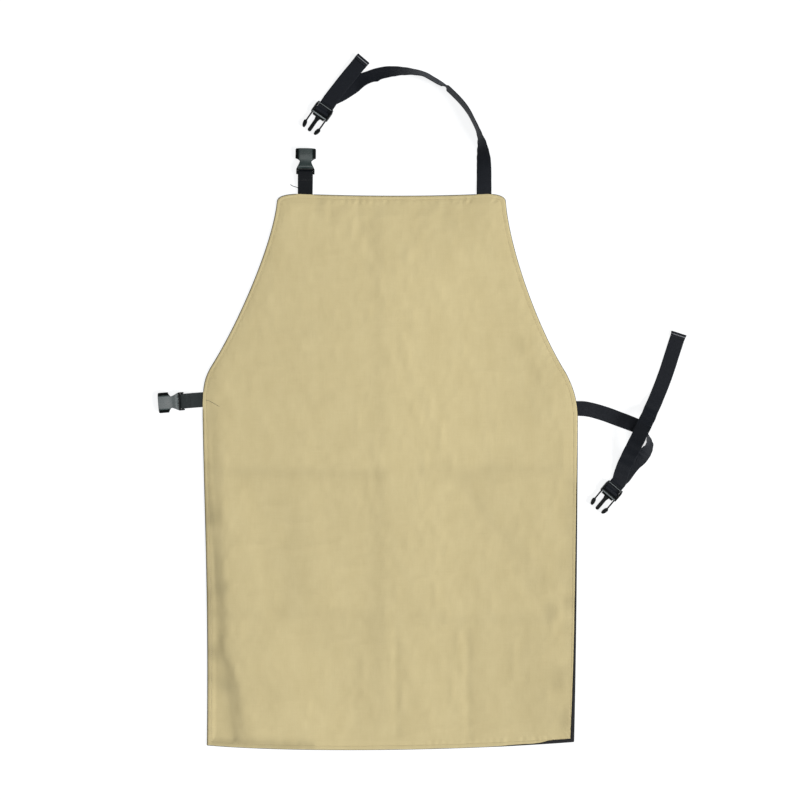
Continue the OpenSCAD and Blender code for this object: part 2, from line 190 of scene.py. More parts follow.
def tube_faces(rings, sides):
    """The faces of a closed tube whose vertices go ring by ring."""
    faces = [tuple(range(sides))[::-1], tuple(range((rings - 1) * sides, rings * sides))]
    for i in range(rings - 1):
        for j in range(sides):
            a, b = i * sides + j, i * sides + (j + 1) % sides
            faces.append((a, b, b + sides, a + sides))
    return faces


def new_object(name, verts, faces, material, uv=None):
    """A smooth-shaded mesh object from vertices in millimetres, with one material."""
    mesh = bpy.data.meshes.new(name)
    mesh.from_pydata((np.asarray(verts) * MM).tolist(), [], faces)
    if uv is not None:
        layer = mesh.uv_layers.new(name="UVMap")
        corner = np.zeros(len(mesh.loops), np.int32)
        mesh.loops.foreach_get("vertex_index", corner)
        layer.data.foreach_set("uv", (np.asarray(uv) * MM)[corner].ravel().astype(np.float32))
    mesh.polygons.foreach_set("use_smooth", [True] * len(mesh.polygons))
    mesh.materials.append(material)
    mesh.update()
    obj = bpy.data.objects.new(name, mesh)
    bpy.context.scene.collection.objects.link(obj)
    return obj


def bake_modifiers(obj):
    """Applies an object's modifiers to its mesh."""
    bpy.context.view_layer.update()
    shown = obj.evaluated_get(bpy.context.evaluated_depsgraph_get())
    mesh = bpy.data.meshes.new_from_object(shown)
    old = obj.data
    obj.modifiers.clear()
    obj.data = mesh
    mesh.name = old.name
    bpy.data.meshes.remove(old)


# ---------------------------------------------------------------- materials
class Look:
    """A material under construction: short names for the few shader nodes used here."""

    def __init__(self, name, roughness, specular=0.5, sheen=0.0):
        self.material = bpy.data.materials.new(name)
        self.material.use_nodes = True
        self.tree = self.material.node_tree
        self.shader = self.tree.nodes["Principled BSDF"]
        self.shader.inputs["Roughness"].default_value = roughness
        self.shader.inputs["Specular IOR Level"].default_value = specular
        self.shader.inputs["Sheen Weight"].default_value = sheen
        self.shader.inputs["Sheen Roughness"].default_value = 0.5

    def link(self, value, socket):
        if isinstance(value, bpy.types.NodeSocket):
            self.tree.links.new(value, socket)
        else:
            socket.default_value = value

    def place(self, kind):
        return self.tree.nodes.new("ShaderNodeTexCoord").outputs[kind]

    def stretched(self, vector, scale):
        node = self.tree.nodes.new("ShaderNodeMapping")
        self.link(vector, node.inputs["Vector"])
        node.inputs["Scale"].default_value = scale
        return node.outputs["Vector"]

    def noise(self, vector, scale, detail=3.0, rough=0.5):
        node = self.tree.nodes.new("ShaderNodeTexNoise")
        self.link(vector, node.inputs["Vector"])
        node.inputs["Scale"].default_value = scale
        node.inputs["Detail"].default_value = detail
        node.inputs["Roughness"].default_value = rough
        return node.outputs["Fac"]

    def parts(self, vector):
        node = self.tree.nodes.new("ShaderNodeSeparateXYZ")
        self.link(vector, node.inputs["Vector"])
        return node.outputs

    def math(self, operation, a, b=0.0, c=0.0):
        node = self.tree.nodes.new("ShaderNodeMath")
        node.operation = operation
        for value, socket in zip((a, b, c), node.inputs):
            self.link(value, socket)
        return node.outputs["Value"]

    def ramp(self, fac, low, high, start=0.0, end=1.0):
        node = self.tree.nodes.new("ShaderNodeMapRange")
        self.link(fac, node.inputs["Value"])
        node.inputs["From Min"].default_value = start
        node.inputs["From Max"].default_value = end
        node.inputs["To Min"].default_value = low
        node.inputs["To Max"].default_value = high
        return node.outputs["Result"]

    def mix(self, fac, a, b):
        node = self.tree.nodes.new("ShaderNodeMix")
        node.data_type = "RGBA"
        self.link(fac, node.inputs[0])
        self.link((*a, 1.0) if isinstance(a, tuple) else a, node.inputs[6])
        self.link((*b, 1.0) if isinstance(b, tuple) else b, node.inputs[7])
        return node.outputs[2]

    def toned(self, colour, attribute):
        """A colour made lighter or darker by a share that the mesh carries."""
        share = self.tree.nodes.new("ShaderNodeAttribute")
        share.attribute_name = attribute
        node = self.tree.nodes.new("ShaderNodeVectorMath")
        node.operation = "SCALE"
        self.link(colour, node.inputs["Vector"])
        self.link(self.math("ADD", share.outputs["Fac"], 1.0), node.inputs["Scale"])
        return node.outputs["Vector"]

    def bump(self, height, depth, strength=1.0, after=None):
        node = self.tree.nodes.new("ShaderNodeBump")
        self.link(height, node.inputs["Height"])
        node.inputs["Distance"].default_value = depth
        node.inputs["Strength"].default_value = strength
        if after is not None:
            self.link(after, node.inputs["Normal"])
        return node.outputs["Normal"]

    def finish(self, colour=None, normal=None, roughness=None):
        if colour is not None:
            value = (*colour, 1.0) if isinstance(colour, tuple) else colour
            self.link(value, self.shader.inputs["Base Color"])
        if normal is not None:
            self.link(normal, self.shader.inputs["Normal"])
        if roughness is not None:
            self.link(roughness, self.shader.inputs["Roughness"])
        return self.material


def woven_cloth(name, light, dark, pitch, roughness, sheen):
    """Plain-woven cloth: crossing threads, slubs along both threads, and a soft mottle."""
    look = Look(name, roughness, specular=0.25, sheen=sheen)
    place = look.place("Object")
    axes = look.parts(place)
    turns = 2 * math.pi / pitch
    warp = look.math("SINE", look.math("MULTIPLY", axes["X"], turns))
    weft = look.math("SINE", look.math("MULTIPLY", axes["Y"], turns))
    weave = look.math("MULTIPLY", warp, weft)
    slub_x = look.noise(look.stretched(place, (30, 1500, 1)), 1.0, 2.0)
    slub_y = look.noise(look.stretched(place, (1500, 30, 1)), 1.0, 2.0)
    threads = look.math("ADD", slub_x, slub_y)
    cloud = look.noise(look.stretched(place, (34, 16, 1)), 1.0, 4.0, 0.6)
    fade = look.math("ADD", look.ramp(cloud, -0.28, 0.28, 0.3, 0.7), look.ramp(threads, 0.25, 0.75, 0.6, 1.4))
    colour = look.mix(look.math("ADD", fade, look.ramp(weave, -0.08, 0.08, -1.0, 1.0)), dark, light)
    # The mesh's tone attribute paints light and shade into the cloth's colour.
    colour = look.toned(colour, "tone")
    relief = look.math("ADD", look.math("MULTIPLY", weave, 0.5), threads)
    return look.finish(colour, look.bump(relief, 0.00012, 0.5))


def webbing_look(name, painted_light_gain):
    """Woven webbing: slanting floats in lengthwise columns, on UVs of metres along and across."""
    look = Look(name, 0.6, specular=0.16, sheen=0.03)
    look.shader.inputs["Sheen Tint"].default_value = (0.5, 0.6, 0.85, 1)
    place = look.place("UV")
    axes = look.parts(place)
    column = look.math("PINGPONG", axes["Y"], 0.0016)
    lengthwise = look.math("MULTIPLY", axes["X"], 1 / 0.0015)
    slant = look.math("ADD", lengthwise, look.math("MULTIPLY", column, 1 / 0.0032))
    floats = look.math("SINE", look.math("MULTIPLY", slant, 2 * math.pi))
    ribs = look.math("SINE", look.math("MULTIPLY", axes["Y"], 2 * math.pi / 0.0016))
    relief = look.math("ADD", look.math("MULTIPLY", floats, 0.6), look.math("MULTIPLY", ribs, 0.4))
    fuzz = look.noise(look.stretched(place, (200, 2500, 1)), 1.0, 3.0)
    shade = look.math("ADD", look.ramp(relief, 0.0, 0.7, -1.0, 1.0), look.ramp(fuzz, -0.2, 0.3, 0.3, 0.7))
    dark, light = (0.0030, 0.0040, 0.0060), (0.0120, 0.0150, 0.0215)
    # painted_light_gain multiplies the colour, painting light in above 1 and shade below 1.
    colour = look.mix(shade, tuple(np.multiply(painted_light_gain, dark)), tuple(np.multiply(painted_light_gain, light)))
    return look.finish(colour, look.bump(relief, 0.00018, 0.6))


def moulded_look(name, colour, roughness, specular):
    """Moulded plastic: faint orange-peel, and a roughness that drifts a little."""
    look = Look(name, roughness, specular)
    place = look.place("Object")
    peel = look.noise(place, 900.0, 2.0)
    drift = look.noise(place, 60.0, 3.0)
    darker, lighter = tuple(0.8 * c for c in colour), tuple(1.2 * c for c in colour)
    tone = look.mix(look.ramp(drift, 0.0, 1.0, 0.35, 0.65), darker, lighter)
    rough = look.ramp(drift, roughness - 0.05, roughness + 0.08, 0.3, 0.7)
    return look.finish(tone, look.bump(peel, 0.00004, 0.35), rough)


def thread_look(name, light, dark):
    """Sewing thread: a twisted strand with a slight sheen."""
    look = Look(name, 0.6, specular=0.4, sheen=0.1)
    place = look.place("Object")
    axes = look.parts(place)
    diagonal = look.math("ADD", axes["X"], axes["Y"])
    twist = look.math("SINE", look.math("MULTIPLY", diagonal, 2 * math.pi / 0.0005))
    tone = look.noise(place, 400.0, 2.0)
    shade = look.math("ADD", look.ramp(twist, 0.2, 0.6, -1.0, 1.0), look.ramp(tone, -0.2, 0.2, 0.3, 0.7))
    return look.finish(look.mix(shade, dark, light), look.bump(twist, 0.00005, 0.5))


def vinyl_look():
    """Lead-loaded vinyl: dull grey with a calendered grain."""
    look = Look("lead_vinyl_grey", 0.55, specular=0.4)
    place = look.place("Object")
    grain = look.noise(place, 700.0, 3.0)
    cloud = look.noise(place, 12.0, 3.0)
    colour = look.mix(look.ramp(cloud, 0.0, 1.0, 0.3, 0.7), (0.085, 0.09, 0.095), (0.12, 0.125, 0.13))
    return look.finish(colour, look.bump(grain, 0.00008, 0.4))


def floor_look():
    look = Look("light_table", 0.9, specular=0.1)
    look.shader.inputs["Emission Color"].default_value = (0.99, 0.995, 1.0, 1.0)
    look.shader.inputs["Emission Strength"].default_value = 0.78
    tone = look.noise(look.place("Object"), 3.0, 2.0)
    return look.finish(look.mix(tone, (0.29, 0.295, 0.30), (0.31, 0.315, 0.32)))


KHAKI = woven_cloth("khaki_canvas", (0.620, 0.526, 0.290), (0.545, 0.455, 0.240), 0.0009, 0.85, 0.08)
BACKING = woven_cloth("black_backing", (0.016, 0.016, 0.018), (0.007, 0.007, 0.008), 0.0007, 0.75, 0.1)
WEBBING = webbing_look("webbing_black", (1.0, 1.0, 1.0))
# One webbing in two brightnesses: the neck tab's colour has painted shade in it, the waist tab's painted
# light.
TAB_WEBBING_PAINTED_LIGHT = {
    "neck": webbing_look("webbing_neck_tab_painted_shade", (0.35, 0.42, 0.42)),
    "waist": webbing_look("webbing_waist_tab_painted_light", (3.0, 3.0, 2.1)),
}
PLUG = moulded_look("plug_black", (0.0042, 0.0052, 0.0054), 0.3, 0.07)
# The ridges' light grey is a painted highlight on the plug's rear bar and front block.
PLUG_RIDGE_HIGHLIGHT = moulded_look("plug_ridge_painted_highlight", (0.20, 0.225, 0.23), 0.3, 0.3)
# The plates' grey colour is a painted reflection of the overhead light, painted lighter on the waist socket
# than on the neck socket.
SOCKET_PLATE_REFLECTION = {
    "neck": moulded_look("socket_neck_plate_painted_reflection", (0.013, 0.025, 0.024), 0.27, 0.55),
    "waist": moulded_look("socket_waist_plate_painted_reflection", (0.044, 0.060, 0.061), 0.27, 0.7),
}
# Near-black painted shade for the socket's side walls and the block behind its plate.
SOCKET_SHADE = moulded_look("socket_side_painted_shade", (0.0035, 0.0048, 0.0048), 0.32, 0.12)
KHAKI_THREAD = thread_look("khaki_thread", (0.64, 0.56, 0.35), (0.52, 0.44, 0.25))
BLACK_THREAD = thread_look("black_thread", (0.030, 0.032, 0.036), (0.010, 0.010, 0.012))
# The sealed edge's light grey is a painted highlight along the tail's folded end.
SEALED_EDGE_HIGHLIGHT = moulded_look("sealed_edge_painted_highlight", (0.30, 0.31, 0.33), 0.22, 0.5)
VINYL = vinyl_look()


# ---------------------------------------------------------------- camera, floor and light
def make_camera():
    data = bpy.data.cameras.new("camera")
    data.lens, data.sensor_width = 50.0, 36.0
    camera = bpy.data.objects.new("camera", data)
    camera.location = (0.0146, 0.1166, 1.80)
    bpy.context.scene.collection.objects.link(camera)
    bpy.context.scene.camera = camera


def make_floor():
    size = 4000
    corners = [(-size, -size, -0.15), (size, -size, -0.15), (size, size, -0.15), (-size, size, -0.15)]
    floor = new_object("floor", corners, [(0, 1, 2, 3)], floor_look())


def aim(light, data, place, target):
    lamp = bpy.data.objects.new(light, data)
    lamp.location = place
    lamp.rotation_euler = (Vector(target) - Vector(place)).to_track_quat("-Z", "Y").to_euler()
    bpy.context.scene.collection.objects.link(lamp)


def make_strip_light(name, size, power, place, target):
    data = bpy.data.lights.new(name, "AREA")
    data.shape, data.energy = "RECTANGLE", power
    data.size, data.size_y = size
    aim(name, data, place, target)


def make_window_light(name, strength, spread, azimuth, elevation):
    """Parallel, softly spread light from a compass direction and a height above the floor."""
    data = bpy.data.lights.new(name, "SUN")
    data.energy, data.angle = strength, math.radians(spread)
    up = math.radians(elevation)
    aim(name, data, (*(2 * math.cos(up) * direction(azimuth)), 2 * math.sin(up)), (0, 0, 0))


def make_room(horizon, overhead):
    """A room that is brighter overhead than along its walls."""
    world = bpy.data.worlds.new("studio")
    bpy.context.scene.world = world
    world.use_nodes = True
    tree = world.node_tree
    place = tree.nodes.new("ShaderNodeTexCoord")
    parts = tree.nodes.new("ShaderNodeSeparateXYZ")
    tree.links.new(place.outputs["Generated"], parts.inputs["Vector"])
    level = tree.nodes.new("ShaderNodeMapRange")
    tree.links.new(parts.outputs["Z"], level.inputs["Value"])
    level.inputs["To Min"].default_value = horizon
    level.inputs["To Max"].default_value = overhead
    tree.links.new(level.outputs["Result"], tree.nodes["Background"].inputs["Strength"])
    tree.nodes["Background"].inputs["Color"].default_value = (1.0, 1.0, 1.0, 1.0)


def make_studio():
    make_floor()
    make_window_light("window", 2.85, 20, -25, 32)
    make_strip_light("ceiling_strip", (2.5, 1.7), 37.0, (0.0, 0.1, 2.7), (0.0, 0.1, 0.0))
    make_room(0.08, 0.16)
    bpy.context.scene.view_settings.view_transform = "Standard"


# ---------------------------------------------------------------- webbing
def section():
    """The webbing's cross-section: (across, through) points with soft selvedges."""
    half_w, half_t = WEB_W / 2, WEB_T / 2
    across = np.linspace(-half_w + 1.2, half_w - 1.2, 13)
    top = [(a, half_t * (0.97 + 0.03 * math.cos(a * math.pi))) for a in across[::-1]]
    left = [(-half_w + 0.45, 0.86 * half_t), (-half_w + 0.08, 0.5 * half_t), (-half_w, 0.0)]
    right = [(-a, b) for a, b in left[:2]][::-1]
    upper = right + top + left
    lower = [(a, -b) for a, b in upper[::-1][1:]]
    return np.array(upper + lower + [(half_w, 0.0)])


SECTION = section()


def ribbon(name, centre, side, material, half_wave=0.12, seed=3, nub=None, flare=None):
    """A closed strip of webbing along centre points, with side as its direction across."""
    run = unit(np.gradient(centre, axis=0))
    side = unit(side - run * np.sum(side * run, axis=1, keepdims=True))
    face = np.cross(run, side)
    s = along(centre)
    sway = waves(seed, 5, 18, 70)(s) * half_wave
    across = SECTION[:, 0][None, :] * (1 + sway[:, None] / (WEB_W / 2))
    if nub is not None:
        place, edge, size = nub
        outer = np.clip(edge * SECTION[:, 0] / (WEB_W / 2), 0, 1) ** 6
        across = across + edge * size * bump(s - place, 4.5)[:, None] * outer[None, :]
    if flare is not None:
        place, amount = flare
        across = across * (1 + amount * bump(s - place, 2.6)[:, None])
    cup = 0.10 * waves(seed + 1, 4, 30, 90)(s)[:, None] * (1 - (SECTION[:, 0] / (WEB_W / 2)) ** 2)[None, :]
    through = SECTION[:, 1][None, :] + cup
    verts = centre[:, None] + side[:, None] * across[..., None] + face[:, None] * through[..., None]
    uv = np.stack([np.broadcast_to(s[:, None], across.shape), SECTION[:, 0] + 0 * across], axis=2)
    faces = tube_faces(len(centre), len(SECTION))
    return new_object(name, verts.reshape(-1, 3), faces, material, uv.reshape(-1, 2))


def spline(route, step):
    """Centre points and side directions every step millimetres along a strap's route."""
    p = np.array(route, float)
    n = len(p) - 1
    u = np.linspace(0, n, 40 * n + 1)
    i = np.minimum(np.floor(u).astype(int), n - 1)
    t = (u - i)[:, None]
    b, c = p[i], p[i + 1]
    a = np.where((i > 0)[:, None], p[np.maximum(i - 1, 0)], 2 * b - c)
    d = np.where((i < n - 1)[:, None], p[np.minimum(i + 2, n)], 2 * c - b)
    q = b + t / 2 * (c - a + t * (2 * a - 5 * b + 4 * c - d + t * (3 * b - a - 3 * c + d)))
    eased = b[:, 2:] + (c[:, 2:] - b[:, 2:]) * smooth(t)
    lift, roll = eased[:, 0], np.radians(eased[:, 1])
    z = lift + WEB_T / 2 * np.abs(np.cos(roll)) + WEB_W / 2 * np.abs(np.sin(roll))
    line = np.column_stack([q[:, 0], q[:, 1], z, roll])
    s = along(line[:, :3])
    at = np.linspace(0, s[-1], max(int(s[-1] / step), 8) + 1)
    line = np.stack([np.interp(at, s, line[:, k]) for k in range(4)], axis=1)
    head = unit(np.gradient(line[:, :2], axis=0))
    roll = line[:, 3]
    side = np.column_stack([-head[:, 1] * np.cos(roll), head[:, 0] * np.cos(roll), np.sin(roll)])
    return line[:, :3], side


def from_root(strap, route):
    return [(strap["root"][0] + x, strap["root"][1] + y, z, r) for x, y, z, r in route]


def behind(strap, gaps, lift, roll):
    back = direction(strap["axis"])
    return [(*(np.array(strap["plug"]) - g * back), lift, roll) for g in gaps]


def arc(centre, radius, start, end, n):
    a = np.radians(np.linspace(start, end, n))
    return np.column_stack([centre[0] + radius * np.cos(a), centre[1] + radius * np.sin(a)])


def side_view_path(pieces, step):
    """One evenly spaced (along, up) line through pieces that meet end to end."""
    line = np.concatenate([np.asarray(p, float) for p in pieces])
    keep = np.concatenate([[True], np.linalg.norm(np.diff(line, axis=0), axis=1) > 1e-6])
    line = line[keep]
    return resample(line, int(along(line)[-1] / step) + 2)


def bight_line():
    """The webbing's way round a plug's centre bar, along the plug and upwards."""
    low, high = WEB_T / 2, 6.4 - WEB_T / 2
    back = TAIL_LIFT + WEB_T / 2
    x, z = 9.6, 3.9
    first = arc((x + 1.6, (low + high) / 2), (high - low) / 2, -90, 90, 25)
    second = arc((x, z), high - z, 90, 180, 13)
    third = arc((x - high + back, z), z - back, 0, -90, 13)
    return side_view_path([[(-4, low)], first, second, third, [(-4, back)]], 0.6)


def strap_pieces(strap, name, nub, tip_flare):
    """The strap up to and round its plug, and its free tail with a folded end."""
    bar = np.array(strap["root"]) + np.array(strap["plug"])
    axis = direction(strap["axis"])
    route = from_root(strap, strap["route"] + behind(strap, strap["behind"], 0, strap["turn"]))
    centre, side = spline(route, 1.6)
    bight = bight_line()[1:]
    over = np.column_stack([bar + bight[:, :1] * axis, bight[:, 1]])
    main = ribbon(name + "_webbing", np.concatenate([centre, over]),
                  np.concatenate([side, np.repeat(side[-1:], len(over), axis=0)]), WEBBING, nub=nub)
    tail_route = from_root(strap, behind(strap, strap["tail_behind"], TAIL_LIFT, 0) + strap["tail"])
    tail_centre, tail_side = spline(tail_route, 1.6)
    end, out = tail_centre[-1], unit(tail_centre[-1] - tail_centre[-2])
    bend = np.radians(np.linspace(15, 180, 12))[:, None]
    fold_r = 0.72
    fold = end + out * fold_r * np.sin(bend) + UP * fold_r * (1 - np.cos(bend))
    back = fold[-1] - out * np.linspace(0.7, TAIL_HEM, 8)[:, None]
    folded = np.concatenate([tail_centre, fold, back])
    folded_side = np.concatenate([tail_side, np.repeat(tail_side[-1:], len(fold) + len(back), axis=0)])
    tip = along(folded)[len(tail_centre) + 5]
    tail = ribbon(name + "_tail_webbing", folded, folded_side, WEBBING, seed=11, flare=(tip, tip_flare))
    return {"main": main, "tail": tail, "path": np.concatenate([centre, over]), "tail_path": tail_centre,
            "end": end, "out": out, "across": tail_side[-1]}


def stitch(start, end, radius, rise):
    """One stitch: a strand that rises out of the cloth, runs flat and dives back in."""
    start, end = np.array(start, float), np.array(end, float)
    run = unit(end - start)
    across = unit(np.cross(UP, run))
    t = np.array([0.0, 0.16, 0.5, 0.84, 1.0])
    height = np.array([-0.35, 0.75, 1.0, 0.75, -0.35]) * rise
    rings = start + (end - start) * t[:, None] + UP * height[:, None]
    a = np.radians(np.arange(0, 360, 60))
    loop = np.cos(a)[:, None] * across + np.sin(a)[:, None] * UP
    verts = (rings[:, None] + loop[None] * radius).reshape(-1, 3)
    return verts, tube_faces(len(t), len(a))


def stitch_row(middle, across):
    """Nine stitches side by side across webbing."""
    row = []
    for i in range(-4, 5):
        at = middle + across * i * BAR_STITCH_GAP
        half = across * BAR_STITCH_HALF
        row.append(stitch(at - half, at + half, BAR_STITCH_R, BAR_STITCH_RISE))
    return row


def joined(shapes):
    """Several (vertices, faces) lists as one."""
    verts, faces, count = [], [], 0
    for v, f in shapes:
        verts.append(v)
        faces += [tuple(i + count for i in face) for face in f]
        count += len(v)
    return np.concatenate(verts), faces


def strand(points, radius):
    """A thin round thread through points, with closed ends."""
    points = resample(np.array(points, float), 24)
    run = unit(np.gradient(points, axis=0))
    across = unit(np.cross(UP, run) + 1e-9)
    over = np.cross(run, across)
    a = np.radians(np.arange(0, 360, 60))
    taper = np.minimum(1, np.linspace(0.2, 6, len(points))[::-1])[:, None, None]
    loop = np.cos(a)[None, :, None] * across[:, None] + np.sin(a)[None, :, None] * over[:, None]
    verts = (points[:, None] + loop * radius * taper).reshape(-1, 3)
    return verts, tube_faces(len(points), len(a))


# ---------------------------------------------------------------- tabs
def tab_line(reach):
    """A tab's webbing from the seam, round the socket's bar and back, along and upwards."""
    low, high = MID_Z - WEB_T / 2, MID_Z + WEB_T / 2
    bottom, top = SOCKET_Z - LOOP_R, SOCKET_Z + LOOP_R
    under = bezier([(-reach + 1, low), (-reach + 14, low), (-12, bottom), (0, bottom)], 24)
    over = bezier([(0, top), (-9, top), (-reach + 16, high), (-reach + 1, high)], 24)
    loop = arc((0, SOCKET_Z), LOOP_R, -90, 90, 25)
    loop[:, 0] *= LOOP_REACH / LOOP_R
    root = -reach - ANCHOR_DEPTH
    return side_view_path([[(root, low)], under, loop, over, [(-reach + 1, high), (root, high)]], 0.8)


def make_tab(name):
    spec = TABS[name]
    out = direction(spec["heading"])
    bar = np.array(spec["root"]) + spec["reach"] * out
    line = tab_line(spec["reach"])
    centre = np.column_stack([bar + line[:, :1] * out, line[:, 1]])
    side = np.repeat([[-out[1], out[0], 0.0]], len(centre), axis=0)
    piece = ribbon(name + "_tab_webbing", centre, side, TAB_WEBBING_PAINTED_LIGHT[name], seed=21, half_wave=0.08)
    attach(piece, "apron")
    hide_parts(name + "_tab")
    across = np.array([-out[1], out[0], 0.0])
    shapes = []
    first_row, second_row = -11.0, -13.2
    upper = line[len(line) // 2:][::-1]
    top = np.interp(first_row, upper[:, 0], upper[:, 1]) + WEB_T / 2
    for row in (first_row, second_row):
        middle = np.array([*(bar + out * row), top - 0.02 * (row - first_row)])
        shapes += stitch_row(middle, across)
    seam = new_object(name + "_tab_stitches", *joined(shapes), BLACK_THREAD)
    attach(seam, "apron")


# ---------------------------------------------------------------- buckles
def moulded(name, node, voxel, origin, axis, shape, finish, other_finish=None, other_where=None):
    """A moulded copy of a CAD node: rounded edges, then shaped in the buckle's own frame, with
    another finish on the faces that other_where picks, if it is given."""
    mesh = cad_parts[node].data.copy()
    mesh.name = name
    mesh.materials.clear()
    piece = bpy.data.objects.new(name, mesh)
    bpy.context.scene.collection.objects.link(piece)
    remesh = piece.modifiers.new("round", "REMESH")
    remesh.mode, remesh.voxel_size = "VOXEL", voxel * MM
    soften = piece.modifiers.new("soften", "SMOOTH")
    soften.factor, soften.iterations = 0.5, 3
    thin = piece.modifiers.new("thin", "DECIMATE")
    thin.ratio = 0.5
    bake_modifiers(piece)
    mesh = piece.data
    co = vertex_places(mesh)
    x_axis, origin = direction(axis), np.array(origin, float)
    y_axis = np.array([-x_axis[1], x_axis[0]])
    flat = co[:, :2] - origin[:2]
    local = np.column_stack([flat @ x_axis, flat @ y_axis, co[:, 2] - origin[2]])
    local = shape(local)
    flat = local[:, :1] * x_axis + local[:, 1:2] * y_axis + origin[:2]
    co = np.column_stack([flat, local[:, 2] + origin[2]])
    mesh.vertices.foreach_set("co", (co * MM).ravel())
    mesh.polygons.foreach_set("use_smooth", [True] * len(mesh.polygons))
    mesh.materials.append(finish)
    mesh.update()
    if other_finish is None:
        return piece
    mesh.materials.append(other_finish)
    middle = np.zeros(len(mesh.polygons) * 3)
    mesh.polygons.foreach_get("center", middle)
    middle = middle.reshape(-1, 3) / MM - (*origin[:2], origin[2])
    other = other_where(middle[:, :2] @ x_axis, np.abs(middle[:, :2] @ y_axis), middle[:, 2])
    mesh.polygons.foreach_set("material_index", other.astype(int))
    return piece


def socket_wall_from(x):
    """Half the width of the socket's top plate, along the socket."""
    return 9.8 + 3.4 * bump(x - 8, 5)


def socket_shade_faces(x, side, z):
    """The socket's side walls and the block behind its plate, which get painted shade."""
    return (x < 6.3) | (side > socket_wall_from(x) + 1.6)


def plug_highlight_faces(x, side, z):
    """The ridges of the plug's rear bar and front block, which get a painted highlight."""
    return (z > 5.7) & (side < 13.2) & ((np.abs(x - 1.3) < 0.8) | (np.abs(x - 18.2) < 0.8))


def socket_shape(p):
    """Lowers the socket's side walls beside its crowned plate, and draws the rear block's
    lips over the tab's loop."""
    x, y, z = p.T
    side = np.abs(y)
    body = smooth((x - 5) / 4)
    crown = 1 - body * (0.07 * (side / 10) ** 2 + 0.42 * smooth((side - socket_wall_from(x)) / 5.5))
    dip = 1 - 0.12 * bump(x - 18, 7)
    block = (side < 14.2) * smooth((9.2 - x) / 3.5) * (x > 4.2)
    back = 0.9 * smooth((6.5 - x) / 1.8) * (side < 12.2) * (x > 4.2) * smooth((np.abs(z) - 2) / 0.8)
    return np.column_stack([x - back, y, z * crown * dip * (1 - 0.34 * block)])


def plug_shape(p):
    """Brings the rails close to the webbing and shortens their rear ends, sets the front block
    back to meet it, crowns the block, and thins the prong to its tip."""
    x, y, z = p.T
    crown = 1 - 0.12 * np.clip(np.abs(y) / 15.6, 0, 1) ** 2 * smooth((x - 12) / 4)
    taper = 1 - 0.28 * smooth((x - 38) / 11)
    side = np.abs(y)
    rail_from, rail_w = 13.05, 3.05
    rail = np.clip(side - rail_from, 0, rail_w) / rail_w
    snug = (side > rail_from) * (0.95 * (1 - rail) + 1.5 * rail * smooth((5 - x) / 6))
    back = 1.5 * smooth((17.4 - x) / 2) * (x > 14.6) * (side < 13.3)
    end = np.where(x < -0.6, 0.7 * (x + 0.6), 0)
    height = PLUG_MID_Z + (z - PLUG_MID_Z) * crown * taper
    return np.column_stack([x - back - end, np.sign(y) * (side - snug), height])


def latch_shape(p):
    """Swells the latch's head and slims its arm."""
    x, y, z = p.T
    swell = 1 + 0.06 * bump(x - 41, 5) - 0.14 * bump(x - 27, 6)
    return np.column_stack([x, y, PLUG_MID_Z + (z - PLUG_MID_Z) * swell])


def make_socket(name):
    spec = TABS[name]
    bar = np.array(spec["root"]) + spec["reach"] * direction(spec["heading"])
    piece = moulded(name + "_socket_moulding", name + "_socket", 0.42, (*bar, SOCKET_Z),
                    spec["heading"], socket_shape, SOCKET_PLATE_REFLECTION[name], SOCKET_SHADE, socket_shade_faces)
    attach(piece, name + "_socket")
    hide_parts(name + "_socket")


def make_plug(name, strap):
    """The plug's frame and its two latches, which bend from the front block."""
    bar = np.array(strap["root"]) + np.array(strap["plug"])
    body = moulded(name + "_plug_moulding", name + "_buckle_frame", 0.38, (*bar, 0.0),
                   strap["axis"], plug_shape, PLUG, PLUG_RIDGE_HIGHLIGHT, plug_highlight_faces)
    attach(body, name + "_plug")
    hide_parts(name + "_buckle_frame")
    pieces = [body]
    for hand in ("left", "right"):
        latch = moulded(f"{name}_latch_{hand}_moulding", f"{name}_latch_{hand}", 0.34, (*bar, 0.0),
                        strap["axis"], latch_shape, PLUG)
        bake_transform(latch)
        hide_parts(f"{name}_latch_{hand}")
        pieces.append(latch)
    return pieces


# ---------------------------------------------------------------- straps
def make_strap(name, strap, nub, tip_flare=0.0):
    """One strap with its plug, its tail and the tail's stitched, heat-sealed end."""
    made = strap_pieces(strap, name, nub, tip_flare)
    plug_pieces = make_plug(name, strap)
    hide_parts(name + "_strap", name + "_strap_bight")
    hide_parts(name + "_strap_tail")

    top = made["end"] + UP * (1.5 * WEB_T + 0.14)
    across, out = made["across"], made["out"]
    # A bead along the fold of the tail's end, its light grey a painted highlight.
    seal_at = top - out * 3.0
    seal_places = np.linspace(-11.2, 11.2, 12)
    seal = strand([seal_at + across * a + UP * 0.05 * math.sin(2.1 * a) for a in seal_places], 0.55)
    sealed_highlight_piece = new_object(name + "_tail_sealed_edge", *seal, SEALED_EDGE_HIGHLIGHT)
    rows = stitch_row(top - out * 5.4, across) + stitch_row(top - out * 7.0, across)
    sewing = new_object(name + "_tail_sewing", *joined(rows), BLACK_THREAD)
    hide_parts(name + "_tail_stitch")
    for piece in (sealed_highlight_piece, sewing):
        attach(piece, name + "_tail")
    made.update(plug=plug_pieces, trim=[sealed_highlight_piece, sewing])
    return made


def bend_straps(name, made, main_span, tail_span):
    """Bakes the placement of each strap and its tail into their meshes."""
    for piece, bodies, (start, end) in (
        (made["main"], ("apron", name + "_plug"), main_span),
        (made["tail"], (name + "_plug", name + "_tail"), tail_span),
    ):
        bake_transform(piece)


# ---------------------------------------------------------------- the panel's outline
EDGE_POINTS = 2000
BAND = 16.0
CORNER_REACH = 62


